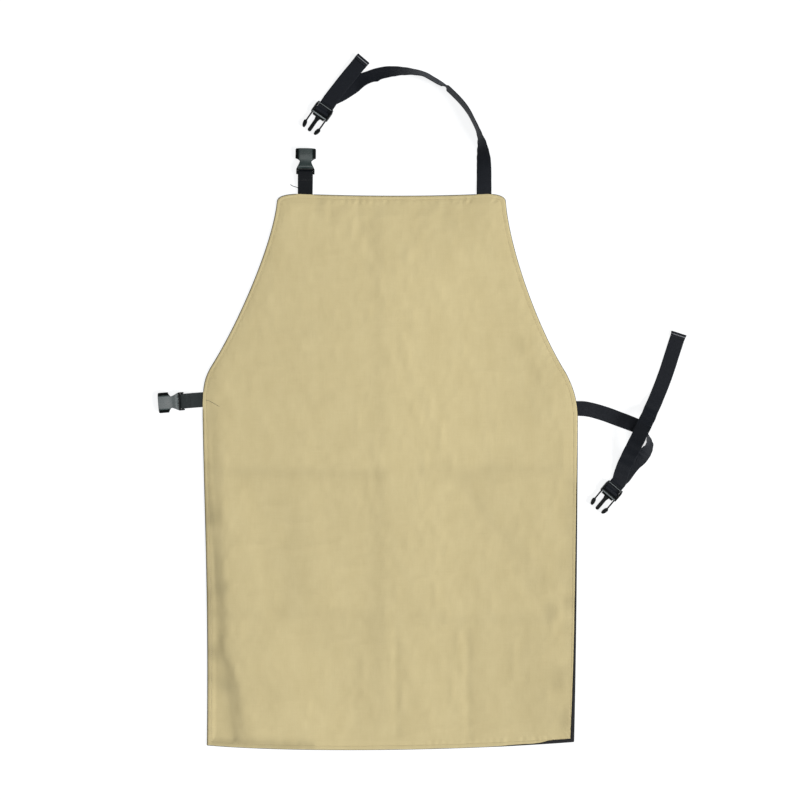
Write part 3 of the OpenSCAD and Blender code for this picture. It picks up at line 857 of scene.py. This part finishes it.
def outline():
    """The edge as evenly spaced points, anticlockwise, and the numbers of its four corners."""
    curves = [bezier(c, 400) for c in EDGE_CURVES]
    dense = np.concatenate(curves + [curves[0][:1]])
    s = along(dense)
    at = np.arange(EDGE_POINTS) * s[-1] / EDGE_POINTS
    points = np.stack([np.interp(at, s, dense[:, k]) for k in range(2)], axis=1)
    corners = []
    for target in [(-298, -442), (296.5, -438), (183, 446.5), (-182, 446.5)]:
        corners.append(int(np.argmin(np.linalg.norm(points - np.array(target), axis=1))))
    return points, corners, s[-1]


def crossing(a, b):
    """Where polyline a meets polyline b: the point and the two segment numbers."""
    for i in range(len(a) - 1):
        p, r = a[i], a[i + 1] - a[i]
        q, s = b[:-1], b[1:] - b[:-1]
        den = r[0] * s[:, 1] - r[1] * s[:, 0]
        den = np.where(np.abs(den) < 1e-12, 1e-12, den)
        t = ((q - p)[:, 0] * s[:, 1] - (q - p)[:, 1] * s[:, 0]) / den
        u = ((q - p)[:, 0] * r[1] - (q - p)[:, 1] * r[0]) / den
        hit = np.nonzero((t >= 0) & (t <= 1) & (u >= 0) & (u <= 1))[0]
        if len(hit):
            return p + t[hit[-1]] * r, i, int(hit[-1])
    return None


def inner_line(points, corners, depth):
    """The line depth inside the edge, point for point, gathered neatly at the corners."""
    n = len(points)
    run = np.roll(points, -2, axis=0) - np.roll(points, 2, axis=0)
    raw = points + unit(np.column_stack([-run[:, 1], run[:, 0]])) * depth
    inner = raw.copy()
    for c in corners:
        before = [(c - CORNER_REACH + i) % n for i in range(CORNER_REACH + 1)]
        after = [(c + i) % n for i in range(CORNER_REACH + 1)]
        meet, i, j = crossing(raw[before], raw[after])
        inner[before] = resample(np.concatenate([raw[before][: i + 1], [meet]]), CORNER_REACH + 1)
        inner[after] = resample(np.concatenate([[meet], raw[after][j + 1:]]), CORNER_REACH + 1)
    return inner


EDGE, CORNERS, EDGE_LENGTH = outline()
INNER = inner_line(EDGE, CORNERS, BAND)
EDGE_S = np.arange(EDGE_POINTS) * EDGE_LENGTH / EDGE_POINTS


def inside(points, polygon):
    """Which points lie in a closed polygon."""
    x, y = points[:, 0], points[:, 1]
    a, b = polygon, np.roll(polygon, -1, axis=0)
    result = np.zeros(len(points), bool)
    for (x0, y0), (x1, y1) in zip(a, b):
        if y0 == y1:
            continue
        hit = ((y0 > y) != (y1 > y)) & (x < (x1 - x0) * (y - y0) / (y1 - y0) + x0)
        result ^= hit
    return result


# ---------------------------------------------------------------- the cloth's relief
GRID = 9.0
SETTLE_FRAMES = 45
GRID_X = np.arange(-306, 306.1, GRID)
GRID_Y = np.arange(-450, 450.1, GRID)


def settled_cloth():
    """Heights, in millimetres, of a cloth cut a little too large that has settled on the
    lead: a cloth simulation on a grid, held along the seam."""
    xx, yy = np.meshgrid(GRID_X, GRID_Y, indexing="ij")
    flat = np.column_stack([xx.ravel(), yy.ravel()])
    keep = inside(flat, INNER[::8]).reshape(xx.shape)
    number = -np.ones(xx.shape, int)
    number[keep] = np.arange(keep.sum())
    quads = []
    for i in range(len(GRID_X) - 1):
        for j in range(len(GRID_Y) - 1):
            q = (number[i, j], number[i + 1, j], number[i + 1, j + 1], number[i, j + 1])
            if min(q) >= 0:
                quads.append(q)
    start = 5.0 + 0.6 * (waves(31, 6, 60, 260)(xx + 0.4 * yy) + waves(32, 6, 60, 260)(yy - 0.3 * xx))
    verts = np.column_stack([flat[keep.ravel()], start[keep]])
    cloth = new_object("cover_trial", verts, quads, KHAKI)
    padded = np.pad(keep, 1)
    rim = keep & ~(padded[:-2, 1:-1] & padded[2:, 1:-1] & padded[1:-1, :-2] & padded[1:-1, 2:])
    group = cloth.vertex_groups.new(name="seam")
    group.add([int(i) for i in number[rim]], 1.0, "REPLACE")
    corners = [(-400, -600, 3), (400, -600, 3), (400, 600, 3), (-400, 600, 3)]
    table = new_object("lead_trial", corners, [(0, 1, 2, 3)], VINYL)
    table.modifiers.new("stop", "COLLISION")
    table.collision.thickness_outer = 0.001
    modifier = cloth.modifiers.new("cloth", "CLOTH")
    modifier.settings.quality = 5
    modifier.settings.mass = 0.25
    modifier.settings.tension_stiffness = 12
    modifier.settings.compression_stiffness = 12
    modifier.settings.shear_stiffness = 4
    modifier.settings.bending_stiffness = 1.5
    modifier.settings.shrink_min = -0.0022
    modifier.settings.vertex_group_mass = "seam"
    modifier.collision_settings.distance_min = 0.001
    modifier.point_cache.frame_end = SETTLE_FRAMES
    scene = bpy.context.scene
    for step in range(1, SETTLE_FRAMES + 1):
        scene.frame_set(step)
    shown = cloth.evaluated_get(bpy.context.evaluated_depsgraph_get()).to_mesh()
    heights = np.zeros(xx.shape)
    heights[keep] = vertex_places(shown)[:, 2]
    scene.frame_set(1)
    for trial in (cloth, table):
        bpy.data.objects.remove(trial)
    low = np.percentile(heights[keep], 2)
    heights = np.where(keep, heights - low, 0)
    return np.clip(heights, -0.2, 3.0)


RELIEF = settled_cloth()


def sample_relief(x, y):
    """The settled cloth's height at points, read smoothly from its grid."""
    u = np.clip((x - GRID_X[0]) / GRID, 0, len(GRID_X) - 1.001)
    v = np.clip((y - GRID_Y[0]) / GRID, 0, len(GRID_Y) - 1.001)
    i, j = u.astype(int), v.astype(int)
    s, t = smooth(u - i), smooth(v - j)
    low = RELIEF[i, j] * (1 - s) + RELIEF[i + 1, j] * s
    high = RELIEF[i, j + 1] * (1 - s) + RELIEF[i + 1, j + 1] * s
    return low * (1 - t) + high * t


# The lead's lower left edge shows through the cover: its line and the cover's drop beside it
SLANT_Y = np.array([-450, -418, -337, -272, -215, -142, -45, 20, 90, 190])
SLANT_X = np.array([-240, -246, -257, -275, -274, -281, -285, -288, -290, -293])
SLANT_DROP = np.array([4.2, 4.2, 4.0, 3.8, 3.6, 3.4, 3.0, 1.8, 1.0, 0.0])

# Creases: from, to, depth (a negative one is a ridge) and half width. They fall steeply on
# the right of their run and gently on its left.
CREASES = [
    ((-14, -2), (-262, 2), 0.8, 9), ((262, 8), (-5, 10), 0.6, 9), ((160, -4), (60, -6), 1.3, 16),
    ((110, -5), (240, -190), 1.5, 20), ((238, -216), (258, -232), 1.3, 10),
    ((256, -322), (272, -342), 1.2, 10), ((268, -392), (282, -408), 1.1, 9),
    ((122, -255), (125, -432), 0.9, 6), ((8, -250), (10, -420), 0.7, 6),
    ((-58, -285), (-56, -425), 0.5, 8), ((-20, -245), (-290, -234), 0.9, 12),
    ((235, -240), (10, -248), 0.8, 12), ((-9, 430), (-9, -420), -0.9, 14),
    ((-34, 10), (-36, -250), 0.8, 22), ((-96, 448), (-98, 396), 1.0, 5),
    ((-83, 446), (-82, 416), 0.7, 4), ((-52, 446), (-50, 378), 0.9, 6),
    ((-32, 446), (-38, 326), 0.8, 7), ((88, 446), (84, 394), 0.9, 5), ((82, 424), (38, 338), 1.0, 10),
    ((42, 447), (44, 410), 0.7, 5), ((-121, 446), (-120, 398), 0.6, 5),
    ((118, 446), (116, 418), 0.5, 4), ((-140, -438), (-262, -432), 1.4, 13),
    ((-292, 120), (-258, 108), 0.6, 5), ((288, 96), (256, 82), 0.5, 6),
    ((-118, 60), (-96, -150), 0.7, 16), ((222, 196), (226, 96), 0.9, 12),
    ((-145, 236), (-148, 208), 0.6, 8), ((-170, -50), (-168, -225), 0.8, 16),
]

# Painted light and shade on the cloth, darker along its creases and edges and lighter or darker in broad
# patches: from, to, half width and change in the cloth's brightness, per cent
PAINTED_LIGHT_AND_SHADE = [
    ((95, 60), (95, 300), 95, 5.0), ((-200, 260), (-205, -300), 100, -3.0),
    ((-140, 456), (140, 456), 12, -2.0), ((-232, -40), (-200, -225), 16, 4.5),
    ((-168, -60), (-165, -220), 24, -3.5), ((-98, -150), (-94, -205), 20, 3.0),
    ((-28, -45), (-25, -280), 38, -2.0), ((78, -60), (85, -215), 34, 3.0),
    ((-170, -275), (-110, -410), 50, 5.5), ((62, -280), (80, -400), 36, 3.5),
    ((226, -290), (240, -400), 36, -4.5), ((216, 200), (222, 110), 18, -4.0),
    ((-298, 180), (-290, 10), 17, -7.0), ((74, 432), (22, 346), 9, -7.0),
    ((252, -222), (254, -232), 14, -11.0), ((264, -328), (270, -340), 14, -8.0),
    ((276, -398), (280, -406), 12, -9.0), ((296, -20), (294, -205), 15, -12.0),
    ((293, -210), (290, -430), 13, -9.0), ((-297, 8), (-292, -75), 12, -11.0),
    ((-292, -75), (-283, -183), 17, -12.0), ((-284, -183), (-284, -288), 17, -12.0),
    ((-282, -290), (-266, -345), 14, -13.0), ((-266, -345), (-249, -428), 15, -11.0),
    ((-301, -30), (-299, -200), 14, -12.0), ((-299, -200), (-298, -330), 14, -14.0),
    ((-298, -330), (-297, -430), 12, -9.0), ((-285, -437), (-130, -443), 8, -16.0),
    ((-262, 2), (-14, -2), 11, -6.0), ((62, 4), (160, 2), 18, -6.0), ((165, 8), (285, 6), 12, -4.0),
    ((115, -15), (238, -180), 17, -5.0), ((127, -255), (129, -430), 5, -6.0),
    ((11, -250), (13, -425), 5, -6.0), ((-60, -290), (-58, -420), 10, -3.0),
    ((-112, 446), (-112, 424), 10, -7.0), ((-96, 446), (-98, 404), 5, -3.0),
    ((-50, 446), (-48, 390), 8, -3.5), ((-36, 400), (-38, 330), 8, -3.5),
    ((88, 446), (86, 404), 6, -4.0), ((-30, -232), (-285, -228), 12, -4.0),
    ((230, -236), (20, -238), 12, -4.0), ((-128, 224), (-158, 222), 9, -3.0),
    ((130, 440), (135, 380), 20, -2.0),
]


def run_offsets(x, y, start, end):
    """Where points lie on a run: its length, their share of it, and how far to its left."""
    run = np.array(end, float) - np.array(start, float)
    length = np.linalg.norm(run)
    share = ((x - start[0]) * run[0] + (y - start[1]) * run[1]) / length**2
    return length, share, ((y - start[1]) * run[0] - (x - start[0]) * run[1]) / length


def crease_depth(x, y):
    total = np.zeros_like(x)
    for start, end, depth, half in CREASES:
        length, share, off = run_offsets(x, y, start, end)
        wander = 0.25 * half * waves(int(length) + 7, 4, 30, 140)(share * length)
        fade = 2 * half + 12
        ends = smooth((share * length + half) / fade) * smooth(((1 - share) * length + half) / fade)
        off = off + wander
        total += depth * ends * bump(off, np.where(off > 0, 2.6 * half, half))
    return total


def painted_light_and_shade(x, y):
    """The cloth's painted light and shade, as a share of its brightness."""
    total = np.zeros_like(x)
    for start, end, half, change in PAINTED_LIGHT_AND_SHADE:
        length, share, off = run_offsets(x, y, start, end)
        beyond = np.maximum(np.maximum(-share, share - 1), 0) * length
        wander = 0.3 * half * waves(int(length) + int(half), 4, 25, 110)(share * length)
        total += change / 100 * bump(np.hypot(off + wander, beyond), half)
    return total


def edge_gap(x, y):
    """Distance from points to the panel's edge."""
    gap = np.full(np.shape(x), np.inf)
    for px, py in EDGE[::8]:
        gap = np.minimum(gap, np.hypot(x - px, y - py))
    return gap


def face_height(x, y):
    """The front face's height over the panel, away from the seam."""
    puff = 1 - np.exp(-np.maximum(edge_gap(x, y) - 10, 0) / 34)
    rise = TOP_Z + 0.35 + 1.35 * puff + 0.5 * sample_relief(x, y) - crease_depth(x, y)
    line = np.interp(y, SLANT_Y, SLANT_X)
    drop = np.interp(y, SLANT_Y, SLANT_DROP)
    rise = rise + 0.22 * drop * bump(x - line - 20, 22) - drop * (1 - smooth((x - line + 13) / 26))
    lead = -290 + 57.5 * np.clip((-10 - y) / 490, 0, 1)
    floor = 1.9 + (TOP_Z - 1.95) * smooth((x - lead + 17) / 15)
    return floor + np.logaddexp(0, (rise - floor) * 6) / 6


# Where webbing enters the edge the covers stand apart: place, half width and gap above
ENTRIES = [((151, 450), 1), ((-139, 449.6), 2), ((301, 102.7), 1), ((-304.6, 116.5), 2)]


def entry_weight(layers):
    """How much each edge point belongs to a webbing entry with that many layers."""
    weight = np.zeros(EDGE_POINTS)
    for place, count in ENTRIES:
        if count == layers:
            gap = np.linalg.norm(EDGE - np.array(place), axis=1)
            weight = np.maximum(weight, 1 - smooth((gap - 12.6) / 7))
    return weight


def roll_in():
    """How far the front cover's edge is rolled in, which lets the black back cover show."""
    x, y = EDGE[:, 0], EDGE[:, 1]
    side = np.interp(y, [-440, -434, -288, -45, 10, 60], [5.2, 5.4, 3.0, 1.4, 0.9, 0.35])
    right = np.where(x > 250, side, 0.3) * (y < 60)
    hem_roll = 0.35 + 1.5 * smooth((x - 160) / 50) * smooth((300 - x) / 40)
    hem = np.where((y < -430) & (x > 60), hem_roll, 0.3)
    return smoothed(np.maximum(np.maximum(right, hem), 0.3), 33)


ROLL = roll_in()
SINGLE, DOUBLE = entry_weight(1), entry_weight(2)
PUCKER = waves(51, 9, 7, 24)(EDGE_S)
RIPPLE = waves(52, 6, 28, 90)(EDGE_S)
TOP_EDGE = smooth((EDGE[:, 1] - 430) / 12)
HEM_RIGHT = smooth((-425 - EDGE[:, 1]) / 10) * smooth((EDGE[:, 0] - 40) / 30)
PUCKER_SIZE = 0.16 + 0.22 * TOP_EDGE + 0.26 * HEM_RIGHT


def at_inset(d):
    """The edge points moved inwards by d, on the line from the edge to the inner line."""
    return EDGE + (INNER - EDGE) * (d / BAND)[:, None]


def front_seam_height(d):
    """The front face's height d inside the edge: a turned fold, a sewn groove and a ridge."""
    x, y = at_inset(d).T
    inner = face_height(x, y)
    fold = 2.15 + 1.5 * (1 - np.exp(-np.maximum(d - ROLL, 0) / 0.55))
    fold = np.where(ROLL > 0.6, np.maximum(fold, 3.15), fold)
    fold = np.maximum(fold, np.maximum(3.86 * DOUBLE, 3.35 * SINGLE))
    rise = fold + (inner - fold) * smooth((d - 3) / 12)
    groove = (0.16 - 0.08 * np.maximum(DOUBLE, SINGLE)) * bump(d - STITCH_INSET, 1.3)
    swell = 0.08 * bump(d - 3.6, 1.6) + 0.10 * bump(d - 9.6, 2.2)
    ridges = bump(d - 10.5, 4.0) + 0.45 * bump(d - 3.5, 2.0)
    puff = PUCKER_SIZE * PUCKER * ridges * (1 - DOUBLE) * (1 - SINGLE)
    return rise - groove + swell + puff + 0.12 * RIPPLE * (1 - smooth(d / BAND))


# ---------------------------------------------------------------- the covers
FRONT_ROWS = [0, 0.12, 0.3, 0.6, 1.0, 1.6, 2.4, 3.2, 4.0, 4.7, 5.3, 5.8, 6.15, 6.5, 6.85, 7.2, 7.7,
              8.3, 9.0, 9.9, 11.0, 12.2, 13.4, 14.7, 16.0]
BACK_ROWS = [0, 0.15, 0.4, 0.8, 1.4, 2.4, 3.6, 4.8, 5.6, 6.1, 6.5, 6.9, 7.4, 8.2, 9.6, 11.5, 13.6, 16.0]
FIELD = 4.5
CLOTH_T = 0.5


def field_points():
    """Staggered points that fill the panel inside the seam band."""
    rows = []
    for i, y in enumerate(np.arange(-445, 450, FIELD * 0.87)):
        x = np.arange(-310, 310, FIELD) + (FIELD / 2 if i % 2 else 0)
        rows.append(np.column_stack([x, np.full_like(x, y)]))
    points = np.concatenate(rows)
    points = points[inside(points, INNER[::4])]
    near = np.full(len(points), np.inf)
    for block in range(0, EDGE_POINTS, 2):
        near = np.minimum(near, np.linalg.norm(points - INNER[block], axis=1))
    return points[near > 0.55 * FIELD]


def fill_inner():
    """Triangles between the inner line and the field points, and those points."""
    field = field_points()
    flat = np.concatenate([INNER, field])
    rim = [(i, (i + 1) % EDGE_POINTS) for i in range(EDGE_POINTS)]
    inner = [list(range(EDGE_POINTS))]
    out = geometry.delaunay_2d_cdt([Vector(p) for p in flat], rim, inner, 1, 1e-6)
    faces, sources = out[2], out[3]
    return field, [tuple(sources[i][0] for i in f) for f in faces]


FIELD_POINTS, FIELD_FACES = fill_inner()


def band_faces(rows):
    """Quads between neighbouring rows of edge points."""
    n = EDGE_POINTS
    faces = []
    for r in range(rows - 1):
        for i in range(n):
            a, b = r * n + i, r * n + (i + 1) % n
            faces.append((a, b, b + n, a + n))
    return faces


def cover_mesh(name, rows, field_z, material, tone=None):
    """A cover from its rows of (x, y, z) edge points, then the field inside the last row."""
    last = (len(rows) - 1) * EDGE_POINTS
    verts = np.concatenate(rows + [np.column_stack([FIELD_POINTS, field_z])])
    inner = [tuple(last + i for i in face) for face in FIELD_FACES]
    piece = new_object(name, verts, band_faces(len(rows)) + inner, material)
    skin = piece.modifiers.new("skin", "SOLIDIFY")
    skin.thickness, skin.offset = CLOTH_T * MM, -1.0
    skin.use_rim = True
    bake_modifiers(piece)
    # The tone attribute holds the cloth's painted light and shade, as a share of its brightness.
    if tone is not None:
        x, y = vertex_places(piece.data)[:, :2].T
        share = piece.data.attributes.new("tone", "FLOAT", "POINT")
        share.data.foreach_set("value", tone(x, y).astype(np.float32))
    return piece


def make_front_cover():
    rows = []
    for d in FRONT_ROWS:
        inset = ROLL + d * (BAND - ROLL) / BAND
        rows.append(np.column_stack([at_inset(inset), front_seam_height(inset)]))
    x, y = FIELD_POINTS.T
    cover = cover_mesh("front_cover_cloth", rows, face_height(x, y), KHAKI, painted_light_and_shade)
    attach(cover, "apron")
    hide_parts("front_cover")
    return cover


def back_height(x, y):
    return 0.02 + 0.05 * (1 + waves(61, 5, 60, 200)(x + y))


def make_back_cover():
    """The back cover: flat on what it lies on, and turned up round the whole edge."""
    zero = np.zeros(EDGE_POINTS)
    lip_z = np.where(ROLL > 0.6, 2.95, 2.02)
    lip_z = np.minimum(lip_z, np.where(DOUBLE > 0.02, 2.02 - 1.45 * DOUBLE, 9))
    lip_z = np.minimum(lip_z, np.where(SINGLE > 0.02, 2.02 - 0.75 * SINGLE, 9))
    lip_z = smoothed(lip_z, 15)
    rows = []
    for t in (1.0, 0.66, 0.33, 0.1):
        inset = ROLL * t * np.where(ROLL > 0.6, 1.12, 0.6)
        rows.append(np.column_stack([at_inset(inset), lip_z - 0.25 * (1 - t) * lip_z / 2]))
    rows.append(np.column_stack([at_inset(zero), 0.62 * lip_z]))
    for d in BACK_ROWS[1:]:
        base = 0.55 * lip_z * np.exp(-d / 0.35)
        groove = 0.35 * bump(d - STITCH_INSET, 1.0)
        lift = 0.06 + 0.05 * PUCKER * bump(d - 10, 4)
        rows.append(np.column_stack([at_inset(zero + d), base + groove + np.maximum(lift, 0.02)]))
    x, y = FIELD_POINTS.T
    cover = cover_mesh("back_cover_cloth", rows, back_height(x, y), BACKING)
    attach(cover, "apron")
    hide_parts("back_cover")


def make_topstitches():
    """Every stitch of the edge seam, on both faces."""
    inset = np.full(EDGE_POINTS, STITCH_INSET)
    closed = np.column_stack([at_inset(inset), front_seam_height(inset)])
    closed = np.concatenate([closed, closed[:1]])
    s = along(closed[:, :2])
    count = int(s[-1] / STITCH_PITCH)
    starts = np.arange(count) * s[-1] / count

    def at(distance):
        distance = distance % s[-1]
        return np.array([np.interp(distance, s, closed[:, k]) for k in range(3)])

    front, back = [], []
    for start in starts:
        a, b = at(start), at(start + STITCH_LENGTH)
        front.append(stitch(a + UP * 0.05, b + UP * 0.05, THREAD_R, 0.28))
        a[2] = b[2] = 0.30
        verts, faces = stitch(a, b, THREAD_R * 0.8, 0.2)
        verts[:, 2] = 0.6 - verts[:, 2]
        back.append((verts, [f[::-1] for f in faces]))
    upper = new_object("edge_topstitch", *joined(front), KHAKI_THREAD)
    lower = new_object("edge_topstitch_back", *joined(back), BLACK_THREAD)
    for piece in (upper, lower):
        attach(piece, "apron")
    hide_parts("edge_stitching")


def lying_on(cover, places, gap):
    """Points a little above a cover's front face, at places in millimetres."""
    down = Vector((0, 0, -1))
    points = []
    for x, y in places:
        hit, spot = cover.ray_cast(Vector((x, y, 40)) * MM, down)[:2]
        points.append((x, y, (spot.z / MM if hit else 0.0) + gap))
    return points


def make_loose_threads(cover):
    """The cut thread ends beside the two tabs."""
    beside = [(-149.8, 459, 1.6), (-152.3, 460.9, 2.2), (-155.5, 461.6, 2.2), (-158.8, 462.8, 1.6),
              (-163.6, 466, 0.5)]
    across = [(-299, 116.6), (-294, 115.2), (-288.5, 112.4), (-282.5, 109), (-276.7, 105.8)]
    ends = [strand(beside, 0.55), strand(lying_on(cover, across, 0.25), 0.26)]
    piece = new_object("loose_threads", *joined(ends), BLACK_THREAD)
    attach(piece, "apron")


# ---------------------------------------------------------------- assembly
make_camera()
neck = make_strap("neck", NECK, nub=(325.0, -1, 2.2))
waist = make_strap("waist", WAIST, nub=None, tip_flare=0.07)
bend_straps("neck", neck, ((-40, 652), (-90, 612)), ((-108, 598), (-52, 660)))
bend_straps("waist", waist, ((410, 80), (365, -20)), ((364, -20), (460, 200)))
make_studio()
front_cloth = make_front_cover()
make_back_cover()
make_topstitches()
make_loose_threads(front_cloth)
for tab_name in TABS:
    make_tab(tab_name)
    make_socket(tab_name)
kept_nodes = {"lead_sheet_front": VINYL, "lead_sheet_back": VINYL, "anchor_tacks": KHAKI_THREAD}
for node, material in kept_nodes.items():
    mesh_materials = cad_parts[node].data.materials
    mesh_materials.clear()
    mesh_materials.append(material)
